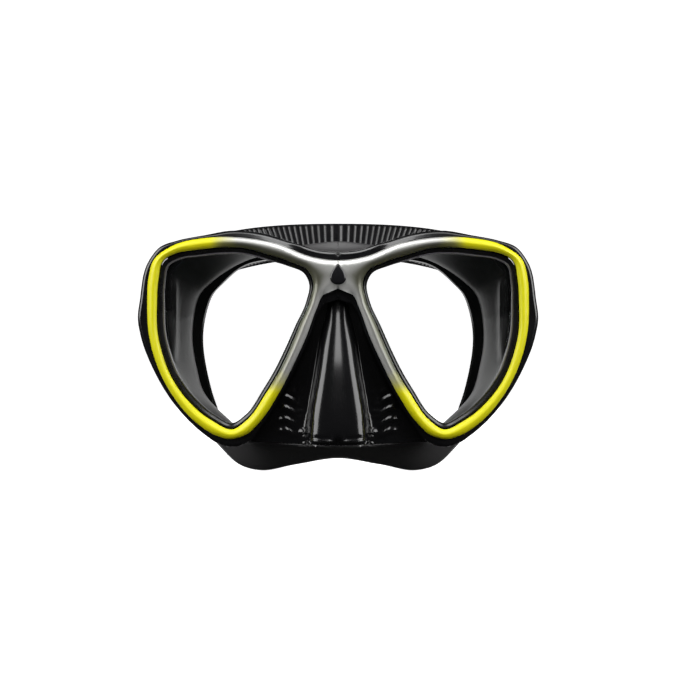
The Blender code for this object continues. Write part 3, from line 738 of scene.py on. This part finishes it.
@dataclass
class Workshop:
    """Shared tools of the sub-assemblies: the finishes and the way a piece is handed over."""

    palette: Palette

    def hand_over(self, thing: bpy.types.Object, body: str, slot: Slot, *nodes: str) -> None:
        """Dress a piece, put it on its body and let it stand for CAD nodes.

        Args:
            thing: The piece.
            body: CAD body that it rides on.
            slot: Material slot and finish.
            nodes: CAD nodes that it stands for.
        """
        self.palette.dress(thing, slot)
        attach(thing, body)
        if nodes:
            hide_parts(*nodes)
        LOG.info("%s rides on %s", thing.name, body)


# --------------------------------------------------------------------------- the mask's front


@dataclass
class Lenses:
    """The two glass panes and their black retainer rings."""

    shop: Workshop
    thick: float = 3.0
    inset: float = 0.5
    chamfer: float = 0.35
    ring_back: float = 0.3
    ring_front: float = 1.5
    steps: int = 180

    def glass(self, side: int, name: str) -> bpy.types.Object:
        """Pane: rings at the front chamfer, front rim, back rim and back chamfer, then capped.

        Args:
            side: +1 or -1.
            name: Name of the piece.

        Returns:
            The pane.
        """
        angles = CLEAR_EDGE.angles(self.steps)
        radius = bezel_inner(angles) - self.inset
        rows = []
        for inset, back in ((self.chamfer, 0.0), (0.0, self.chamfer),
                            (0.0, self.thick - self.chamfer), (self.chamfer, self.thick)):
            x, z = CLEAR_EDGE.place(angles, radius - inset)
            y = FRONT.sweep * (x - FRONT.soft / 2) + FRONT.rake * (FRONT.top - z) + back
            rows.append(np.column_stack([side * x, y, z]))
        return Piece.grid(name, np.array(rows), wrap=(False, True), cap=True, smooth=20.0)

    def ring(self, side: int, name: str) -> bpy.types.Object:
        """Retainer: a dished ring with a raised bead at the clear edge, the bead carrying a painted
        highlight.
        """
        angles = CLEAR_EDGE.angles(self.steps)
        inner = CLEAR_EDGE.place(angles, CLEAR_EDGE.radius(angles))
        outer = CLEAR_EDGE.place(angles, bezel_inner(angles) - self.inset)
        back, front = self.ring_back, self.ring_front
        profile = [(0, back), (0, front - 0.75), (0.04, front - 0.45), (0.11, front - 0.3),
                   (0.18, front - 0.42), (0.24, front - 0.62), (0.32, front - 0.62),
                   (0.5, front - 0.3), (0.75, front), (1, front), (1, back)]
        grid = ring_grid(inner, outer, profile)
        grid[..., 0] *= side
        # Painted highlight on the bead: the lit rows are coloured lighter, most on the ring's upper
        # outer side, where the light falls.
        lit = np.array([0.3, 0.8, 1, 1, 1, 0.9, 0.5, 0, 0, 0, 0.0])
        lit_side = smooth_step(-0.1, 0.5, np.cos(angles) + 0.9 * np.sin(angles))
        return Piece.grid(name, grid, wrap=(True, True), smooth=50.0, shade=lit[:, None] * lit_side)

    def build(self) -> None:
        """Make both sides."""
        for side, label in ((1, "right"), (-1, "left")):
            pane = self.glass(side, label + "_glass")
            self.shop.hand_over(pane, "mask", Slot.GLASS, label + "_lens")
            ring = self.ring(side, label + "_retainer")
            self.shop.hand_over(ring, "mask", Slot.RING, label + "_lens_retainer")


@dataclass
class FrontFrame:
    """Main frame, trim bezel and the badge on the bridge."""

    shop: Workshop
    frame_back: float = -3.0
    frame_front: float = 1.5
    bezel_back: float = 1.8
    frame_roll: float = 1.5
    facet: float = 2.8
    facet_slope: float = 0.5
    bezel_dome: float = 3.2
    bezel_round: float = 3.0
    bezel_low: float = 0.3
    steps: int = 220

    def main_frame(self) -> bpy.types.Object:
        """Frame ring with a rolled outer edge: front face, quarter-round rim and flat back."""
        angles = FRAME_OUTER.angles(self.steps)
        inner = FRAME_OUTER.place(angles, bezel_inner(angles))
        outer = FRAME_OUTER.outer(angles)
        back, front = self.frame_back, self.frame_front
        shares = np.concatenate([[0.0, 0.04], np.linspace(0.4, 1.0, 19) ** 0.7, [1.0]])
        x, z = between(inner, outer, shares)
        apart = gap_to(x, z, FRAME_OUTER.dense())
        facet = np.maximum(self.facet - apart, 0) * self.facet_slope \
            * smooth_step(14, 22, x) * smooth_step(62, 50, x) * smooth_step(80, 88, z)
        forward = front - self.frame_roll * (1 - quarter_round(apart, self.frame_roll)) - facet
        forward[0] -= 0.2
        forward[-1] = back
        face = np.stack([x, FRONT.y(x, z, forward), z], axis=-1)
        grid = np.concatenate([face, ring_grid(inner, outer, [(0, back)])])
        return Piece.grid("frame_shell", grid, wrap=(True, True), mirror=True, smooth=42.0)

    def bezel(self) -> bpy.types.Object:
        """Domed trim: as high as a quarter round from its nearest edge, then level.

        The height over the back is dome * (low + (1 - low) * sqrt(1 - (1 - d / r)^2)) at d mm,
        up to r, from the nearest edge, which runs across the middle plane without a crease.
        """
        angles = BEZEL_OUTER.angles(self.steps)
        inner = BEZEL_OUTER.place(angles, bezel_inner(angles))
        outer = BEZEL_OUTER.outer(angles)
        every = np.linspace(-math.pi, math.pi, 900)
        lens_edge = np.column_stack(CLEAR_EDGE.place(every, bezel_inner(every)))
        x, z = between(inner, outer, 0.5 - 0.5 * np.cos(np.linspace(0, math.pi, 29)))
        from_lens = gap_to(x, z, lens_edge)
        from_rim = gap_to(x, z, BEZEL_OUTER.dense())
        rounding = quarter_round(np.minimum(from_lens, from_rim), self.bezel_round)
        rise = self.bezel_low + (1 - self.bezel_low) * rounding
        arch = np.stack([x, FRONT.y(x, z, self.bezel_back + self.bezel_dome * rise), z], axis=-1)
        base = ring_grid(inner, outer, [(1, self.bezel_back), (0, self.bezel_back)])
        grid = np.concatenate([arch, base])
        # Share from the lens edge to the rim, which the paint turns into painted shade near the
        # lens.
        across = from_lens / (from_lens + from_rim + 1e-6)
        across = np.concatenate([across, across[-1:], across[:1]])
        return Piece.grid("bezel_trim", grid, wrap=(True, True), mirror=True, smooth=60.0,
                          shade=across)

    def emblem(self) -> bpy.types.Object:
        """Badge: a rising drop, widest low down, with a pillowed face."""
        turn = np.linspace(0, 2 * math.pi, 72, endpoint=False)
        rows = []
        for share, forward in ((1.0, 4.4), (1.0, 5.35), (0.93, 5.62), (0.8, 5.78), (0.5, 5.86),
                               (0.12, 5.9)):
            x = share * 3.0 * np.sin(turn) * (1 - 0.5 * np.cos(turn))
            z = 84.4 + share * 4.3 * np.cos(turn)
            rows.append(np.column_stack([x, FRONT.y(x, z, forward), z]))
        return Piece.grid("drop_badge", np.array(rows), wrap=(False, True), cap=True, smooth=60.0)

    def build(self) -> None:
        """Make the three pieces."""
        self.shop.hand_over(self.main_frame(), "mask", Slot.FRAME, "main_frame")
        self.shop.hand_over(self.bezel(), "mask", Slot.BEZEL, "front_bezel")
        self.shop.hand_over(self.emblem(), "mask", Slot.EMBLEM, "bridge_emblem")


# --------------------------------------------------------------------------- soft pieces

# Soft wall behind the skirt's outline: the angle in degrees about the lens centre at which each
# station leaves the outline, then the neck, the flared back edge and the sealing lip.
SKIRT_WALL = (
    (142.8, (0, 27, 94), (0, 34, 99.9), (0, 35, 90)),
    (128.0, (17, 29, 95), (17, 36, 98.2), (17, 37, 92)),
    (100.0, (35, 34, 95), (38, 44, 97.0), (36.2, 43, 91)),
    (60.0, (56.2, 42, 84.6), (59.2, 54, 87.8), (51.3, 52, 81.5)),
    (25.0, (64.2, 45, 74.3), (67.2, 59, 74.8), (57.2, 56, 73)),
    (0.0, (66.3, 46, 60), (68.5, 61, 60), (59.8, 58, 61)),
    (-28.0, (64.4, 46, 45.5), (66.8, 60, 43.5), (58.8, 57, 47)),
    (-55.0, (59.3, 43, 31.5), (61, 55, 23.5), (54.0, 51, 29.5)),
    (-80.0, (47, 35, 19.5), (51.5, 50.5, 9.3), (48, 48, 19)),
    (-92.0, (41, 31.5, 14.0), (43.6, 47, 2.4), (41, 45.5, 14)),
    (-104.0, (34, 28, 10.5), (34, 43, 0), (33, 43, 10)),
    (-122.0, (17, 22, 10.8), (17, 38, 3), (17, 39, 10)),
    (-133.4, (0, 18, 12.2), (0, 35.5, 5.6), (0, 37, 13)))


@dataclass
class Skirt:
    """Soft face skirt with the nose pocket, cheek ribs and an inward sealing lip."""

    shop: Workshop
    front: float = -3.7
    thick: float = 1.9
    flank: float = 2.6
    chin: float = 18.0
    chin_roll: float = 4.0
    rib_height: float = 0.8
    cheek_gap: float = 71.4
    cheek_front: float = 22.6
    shoulder: float = 1.1
    steps: int = 270
    front_steps: int = 56
    wall_steps: int = 9

    def nose(self, x: np.ndarray, z: np.ndarray) -> np.ndarray:
        """How far the nose pocket stands forward, in millimetres.

        The face is a ridge of height h less x^2 / (2 * crown) and less shoulder * (x / half)^6,
        out to its half width; all grow downwards. It falls away over `flank` mm at the sides.
        Under the chin line it rolls back by a quarter round, and a bead follows the rounded
        rectangle below the face.
        """
        x = np.abs(x)
        level = np.clip(z, 10, 80).ravel()
        keys = [10, 20, 36, 52, 61, 67, 80]
        height = smooth_curve(keys, [18.0, 16.8, 13.2, 8.6, 5.2, 2.8, 0.0], level)
        half = smooth_curve([10, 18, 48, 64, 80], [11.6, 11.2, 7.0, 5.4, 4.0], level)
        crown = smooth_curve([10, 20, 36, 52, 63, 80], [74, 68, 44, 22, 11, 8], level)
        height, half, crown = (row.reshape(z.shape) for row in (height, half, crown))
        reach = np.minimum(x, half + self.flank)
        face = height - reach ** 2 / (2 * crown) - self.shoulder * (reach / half) ** 6
        fall = 1 - smooth_step(0, 1, (x - half) / self.flank)
        low = np.clip((self.chin - z) / self.chin_roll, 0, 1)
        face = face - self.chin_roll * (1 - np.sqrt(1 - low * low)) * 0.8
        corner_x, corner_z = x - 11.6, 18.0 - z
        edge = np.hypot(np.maximum(corner_x, 0), np.maximum(corner_z, 0)) \
            + np.minimum(np.maximum(corner_x, corner_z), 0) - 3.5
        bead = bump(0, 1.3, edge) * smooth_step(21.0, 17.5, z)
        return np.maximum(face, 0) * fall + 1.5 * bead

    def ribs(self, x: np.ndarray, z: np.ndarray) -> np.ndarray:
        """Cheek ribs: two columns of rounded ridges beside the nose that droop towards it."""
        x = np.abs(x)
        outer = np.abs(np.cos(math.pi * (z + 0.07 * (24.5 - x) ** 2) / 4.7)) ** 2.0
        outer = outer * smooth_step(16.8, 18.6, x) * smooth_step(25.5, 23.2, x) \
            * smooth_step(14.0, 17.0, z) * smooth_step(37.5, 34.0, z)
        inner = np.abs(np.cos(math.pi * (z + 0.07 * (17.5 - x) ** 2) / 2.7)) ** 2.0
        inner = inner * smooth_step(13.6, 14.8, x) * smooth_step(17.6, 16.4, x) \
            * smooth_step(23.0, 25.0, z) * smooth_step(37.0, 34.0, z)
        return self.rib_height * (outer + 0.7 * inner)

    def surface(self) -> tuple[np.ndarray, np.ndarray, np.ndarray]:
        """Half of the skirt as a grid.

        The front sheet runs from each lens hole out to the outline, with the nose pocket and
        ribs raised on it. The wall is a smooth curve through the outline, neck, back edge and
        sealing lip, carried along the outline.

        Returns:
            The points, the faces to make, and the satin share of each point, which rises above 1
            for a painted highlight line along the back edge.
        """
        angles = SKIRT_OUTER.angles(self.steps, 12)
        inner = SKIRT_OUTER.place(angles, CLEAR_EDGE.radius(angles) + 0.6)
        x, z = between(inner, SKIRT_OUTER.outer(angles), np.linspace(0, 1, self.front_steps + 1))
        y = FRONT.y(x, z, self.front) - self.nose(x, z) - self.ribs(x, z)
        sheet = np.stack([x, y, z], axis=-1)
        keys = np.radians([row[0] for row in SKIRT_WALL])[::-1]
        turned = keys[0] + np.mod(angles - keys[0] + 1e-3, 2 * math.pi) - 1e-3
        walled = turned <= keys[-1] + 1e-3
        turned = np.clip(turned, keys[0], keys[-1])
        ghosts = np.concatenate([[2 * keys[0] - keys[1]], keys, [2 * keys[-1] - keys[-2]]])
        rims = [sheet[-1]]
        for part in (1, 2, 3):
            table = np.array([row[part] for row in SKIRT_WALL], float)[::-1]
            table = np.vstack([table[1] * (-1, 1, 1), table, table[-2] * (-1, 1, 1)])
            rim = smooth_curve(ghosts, table, turned)
            rim[sheet[-1, :, 0] == 0.0, 0] = 0.0
            rims.append(rim)
        steps = np.linspace(0, 3, 3 * self.wall_steps + 1)[1:]
        wall = smooth_curve(np.arange(4.0), np.array(rims).reshape(4, -1), steps)
        wall = wall.reshape(len(steps), len(angles), 3)
        room = self.cheek_gap + 1.5 * np.maximum(self.cheek_front - wall[..., 1], 0)
        wall[..., 0] = np.minimum(wall[..., 0], room)
        points = np.concatenate([sheet, wall])
        keep = np.ones(points.shape[:2], bool)
        keep[self.front_steps:] = (walled & np.roll(walled, -1))[None, :]
        satin = np.zeros(points.shape[:2])
        part = np.concatenate([[0.0], steps])
        # Satin from just behind the outline to the sealing lip's back edge, plus a painted
        # highlight line along that edge.
        satin[self.front_steps:] = (smooth_step(0.05, 0.3, part) * smooth_step(2.15, 2.0, part)
                                    + 0.8 * bump(2.0, 0.12, part))[:, None]
        return points, keep, satin

    def build(self) -> None:
        """Make the skirt."""
        points, keep, satin = self.surface()
        skirt = Piece.grid("soft_skirt", points, wrap=(False, True), keep=keep, mirror=True,
                           thick=self.thick, facing=(0, -1, 0), shade=satin, smooth=75.0)
        self.shop.hand_over(skirt, "mask", Slot.SILICONE, "skirt")


@dataclass(frozen=True)
class BuckleAxes:
    """Frame of both buckles: x across the mask, e along the strap, w across the strap."""

    pivot_y: float = 26.0
    pivot_z: float = 66.0
    rise: float = math.radians(19.5)

    def place(self, points: np.ndarray) -> np.ndarray:
        """Turn points (x, e, w) into the mask's own frame."""
        e, w = points[..., 1], points[..., 2]
        y = self.pivot_y + e * math.cos(self.rise) - w * math.sin(self.rise)
        z = self.pivot_z + e * math.sin(self.rise) + w * math.cos(self.rise)
        return np.stack([points[..., 0], y, z], axis=-1)

    def world(self, x: float, e: float, w: float) -> tuple[float, float, float]:
        """The same for one point, in metres of the object's frame."""
        spot = self.place(np.array([x, e, w], float))
        return tuple(float(c) for c in (spot + (0.0, FRONT.shift_y, 0.0)) * MM)


AXES = BuckleAxes()


@dataclass
class HeadStrap:
    """Split silicone head strap, ribbed on its inner face."""

    shop: Workshop
    thick: float = 2.2
    run_start: float = 20.5
    loop_start: float = 32.0
    loop_depth: float = 84.0
    straight: float = 0.09
    half_width: float = 73.5
    half_side: float = 8.5
    half_back: float = 11.0
    lean: float = math.radians(62.0)
    power: float = 0.85
    slot: float = 1.5
    slot_start: float = 0.16
    slot_end: float = 0.40
    length: float = 291.93
    rib_pitch: float = 2.4
    rib_height: float = 0.7
    steps: int = 1200
    across_steps: int = 22

    def sheet(self, along: np.ndarray, across: np.ndarray, raised: np.ndarray) -> np.ndarray:
        """Points of the strap, raised mm outwards from its middle surface.

        The loop is a straight run, half of a squared-off ellipse and a straight run:
        x = w * |cos|^p, e = d * |sin|^p. Its back panel leans outwards with the sine.
        """
        phi = math.pi * np.clip((along - self.straight) / (1 - 2 * self.straight), 0, 1)
        lead = np.clip(np.minimum(along, 1 - along) / self.straight, 0, 1)
        side, cosine, sine = np.sign(np.cos(phi)), np.abs(np.cos(phi)), np.abs(np.sin(phi))
        x = self.half_width * side * cosine ** self.power
        e = self.run_start + (self.loop_start - self.run_start) * lead \
            + self.loop_depth * sine ** self.power
        lean = self.lean * sine
        half = self.half_side + (self.half_back - self.half_side) * np.sin(phi) ** 2
        out_x = side * cosine ** (2 - self.power) * self.loop_depth
        out_e = sine ** (2 - self.power) * self.half_width
        length = np.hypot(out_x, out_e)
        shift = across * half * np.sin(lean) + raised * np.cos(lean)
        rise = across * half * np.cos(lean) - raised * np.sin(lean)
        return np.stack([x + shift * out_x / length, e + shift * out_e / length, rise], axis=-1)

    def build(self) -> None:
        """Make the strap as a closed sleeve of two faces, with the two slots left open.

        The inner face is sunk between ribs, one each rib_pitch mm along the back panel.
        """
        along = np.linspace(0, 1, self.steps + 1)[:, None]
        half_slot = self.slot / self.half_back
        upper = np.linspace(half_slot, 1, self.across_steps // 2)
        across = np.concatenate([-upper[::-1], upper])[None, :]
        distance = along * self.length
        panel = smooth_step(0.2, 0.24, along) * smooth_step(0.8, 0.76, along)
        wave = smooth_step(0.35, 0.75, np.abs(np.cos(math.pi * distance / self.rib_pitch)))
        band = smooth_step(0.93, 0.86, np.abs(across))
        gap = panel * (1 - wave) * band
        full = np.ones_like(gap)
        round_off = 0.35 * smooth_step(0.86, 1.0, np.abs(across)) * full
        inner = -self.thick / 2 + round_off - self.rib_height * (0.45 * panel * band - gap)
        outer = self.thick / 2 - round_off
        faces = [AXES.place(self.sheet(along * full, across * full, face))
                 for face in (inner, outer)]
        points = np.concatenate([faces[0], faces[1][:, ::-1]], axis=1)
        # Painted light: the gaps between the ribs are coloured as lighter satin, and 1.3 takes them
        # past 1 into the painted highlight grey.
        satin = np.concatenate([1.3 * gap, 0 * full], axis=1)
        columns = across.shape[1]
        middle = columns // 2 - 1
        nearer = np.minimum(along[:, 0], 1 - along[:, 0])
        slotted = (nearer > self.slot_start) & (nearer < self.slot_end)
        split = slotted[:-1] & slotted[1:]
        keep = np.ones((points.shape[0] - 1, points.shape[1]), bool)
        keep[split, middle] = False
        keep[split, 2 * columns - 2 - middle] = False
        strap = Piece.grid("head_strap", points, wrap=(False, True), keep=keep, smooth=55.0,
                           shade=satin)
        self.close(strap)
        self.shop.hand_over(strap, "strap_loop", Slot.SILICONE, "strap")

    def close(self, strap: bpy.types.Object) -> None:
        """Wall the two slots and cap the strap's ends."""
        shell = bmesh.new()
        shell.from_mesh(strap.data)
        rims = [e for e in shell.edges if e.is_boundary]
        ends = [e for e in rims if all(abs(v.co.y - e.verts[0].co.y) < 0.02 for v in e.verts)
                and min(v.co.y for v in e.verts) < (FRONT.shift_y + 60) * MM]
        bmesh.ops.holes_fill(shell, edges=ends)
        for side in (-1, 1):
            rims = [e for e in shell.edges if e.is_boundary and e.verts[0].co.x * side > 0]
            bmesh.ops.bridge_loops(shell, edges=rims)
        bmesh.ops.recalc_face_normals(shell, faces=shell.faces)
        shell.to_mesh(strap.data)
        shell.free()
        strap.data.shade_smooth()
        strap.data.set_sharp_from_angle(angle=math.radians(55.0))


@dataclass
class Hardware:
    """The swivel buckles' CAD pieces, rounded and given their finishes."""

    shop: Workshop
    frame: dict

    def rounded(self, node: str, width: float) -> bpy.types.Object:
        """Copy a CAD node, merge its flat faces, split the hollow ones and round its edges.

        Args:
            node: CAD node.
            width: Rounding in millimetres.

        Returns:
            The rounded copy.
        """
        shell = bmesh.new()
        shell.from_mesh(self.frame["nodes"][node].data)
        bmesh.ops.remove_doubles(shell, verts=shell.verts, dist=0.000002)
        bmesh.ops.dissolve_limit(shell, angle_limit=math.radians(0.5), verts=shell.verts,
                                 edges=shell.edges)
        bmesh.ops.connect_verts_concave(shell, faces=shell.faces)
        copy = Piece.put(node + "_form", shell, 35.0)
        Piece.round_edges(copy, width)
        return copy

    def build(self) -> None:
        """Make both sides' buckles, straps' turns, tails and keepers."""
        for label in ("right", "left"):
            bodies = {"buckle_bracket": ("mask", Slot.BUCKLE, 0.4),
                      "buckle_body": (label + "_buckle", Slot.BUCKLE, 0.45),
                      "release_lever": (label + "_lever", Slot.BUCKLE, 0.4),
                      "roller": (label + "_roller", Slot.BUCKLE, 0.3),
                      "swivel_pin": ("mask", Slot.STEEL, 0.3),
                      "roller_pin": (label + "_buckle", Slot.STEEL, 0.15),
                      "lever_pin": (label + "_buckle", Slot.STEEL, 0.15),
                      "strap_tail": (label + "_tail", Slot.SILICONE, 0.4),
                      "strap_turn": (label + "_buckle", Slot.SILICONE, 0.3),
                      "strap_keeper": ("strap_loop", Slot.SILICONE, 0.35)}
            for piece, (body, slot, width) in bodies.items():
                node = f"{label}_{piece}"
                self.shop.hand_over(self.rounded(node, width), body, slot, node)
            spring = self.frame["nodes"][label + "_lever_spring"]
            self.shop.palette.dress(spring, Slot.STEEL)


# --------------------------------------------------------------------------- stage


@dataclass
class Studio:
    """Pale floor, soft lights and the camera."""

    distance: float = 1000.0
    focal: float = 122.4
    shift_x: float = 0.0171
    look_z: float = 52.7
    floor_z: float = -0.0004

    def panel(self, name: str, spot: tuple[float, float, float], aim: tuple[float, float, float],
              size: tuple[float, float], power: float) -> None:
        """Rectangular area light at a spot, aimed at a point, all in metres."""
        data = bpy.data.lights.new(name, "AREA")
        data.shape = "RECTANGLE"
        data.size, data.size_y = size
        data.energy = power
        lamp = bpy.data.objects.new(name, data)
        bpy.context.scene.collection.objects.link(lamp)
        lamp.location = spot
        away = np.array(spot) - np.array(aim)
        flat = math.hypot(away[0], away[1])
        lamp.rotation_euler = (math.atan2(flat, away[2]), 0, math.atan2(away[0], -away[1]))

    def sweep(self, glow: float) -> None:
        """Floor that curves up into a wall behind: a flat run, a quarter circle, a flat rise."""
        turn = np.linspace(0, math.pi / 2, 25)
        y = np.concatenate([[-4.0], 1.5 + 1.0 * np.sin(turn), [2.5]])
        z = self.floor_z + np.concatenate([[0.0], 1.0 - np.cos(turn), [5.0]])
        rows = [np.column_stack([np.full_like(y, x), y, z]) for x in (-5.0, 5.0)]
        points = np.array(rows) / MM - (0.0, FRONT.shift_y, 0.0)
        sheet = Piece.grid("studio_sweep", points, facing=(0, 0, 1), smooth=60.0)
        tree = Tree("studio_paper")
        tree.set(Base_Color=(0.86, 0.86, 0.86), Roughness=0.8, Emission_Color=(1.0, 1.0, 1.0),
                 Emission_Strength=glow)
        sheet.data.materials.append(tree.material)
        sheet.visible_diffuse = False
        sheet.visible_glossy = False

    def build(self) -> None:
        """Set the stage."""
        bpy.context.scene.view_settings.view_transform = "Standard"
        self.sweep(0.95)
        world = bpy.data.worlds.new("studio")
        world.use_nodes = True
        world.node_tree.nodes["Background"].inputs["Color"].default_value = (1.0, 1.0, 1.0, 1)
        world.node_tree.nodes["Background"].inputs["Strength"].default_value = 0.02
        bpy.context.scene.world = world
        aim = (0, -0.05, 0.05)
        self.panel("front_softbox", (0.0, -0.85, 0.90), aim, (0.36, 1.0), 6.0)
        self.panel("top_softbox", (0.0, -0.35, 1.1), aim, (1.4, 0.35), 5.0)
        self.panel("left_softbox", (-1.0, -0.55, 0.40), aim, (0.8, 1.0), 13.0)
        self.panel("right_softbox", (1.0, -0.55, 0.40), aim, (0.8, 1.0), 13.0)
        self.panel("back_softbox", (0.0, 1.1, 0.05), aim, (2.0, 1.2), 7.0)
        camera = bpy.data.cameras.new("camera")
        camera.lens = self.focal
        camera.sensor_width = 36.0
        camera.shift_x = self.shift_x
        view = bpy.data.objects.new("camera", camera)
        bpy.context.scene.collection.objects.link(view)
        y = (FRONT.shift_y - self.distance) * MM
        view.location = (0.0, y, self.look_z * MM)
        view.rotation_euler = (math.pi / 2, 0, 0)
        bpy.context.scene.camera = view


def main() -> None:
    """Load the frame and build every sub-assembly."""
    logging.basicConfig(level=logging.INFO, format="%(message)s")
    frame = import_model()
    shop = Workshop(Palette())
    Studio().build()
    Lenses(shop).build()
    FrontFrame(shop).build()
    Skirt(shop).build()
    HeadStrap(shop).build()
    Hardware(shop, frame).build()


if __name__ == "__main__":
    main()
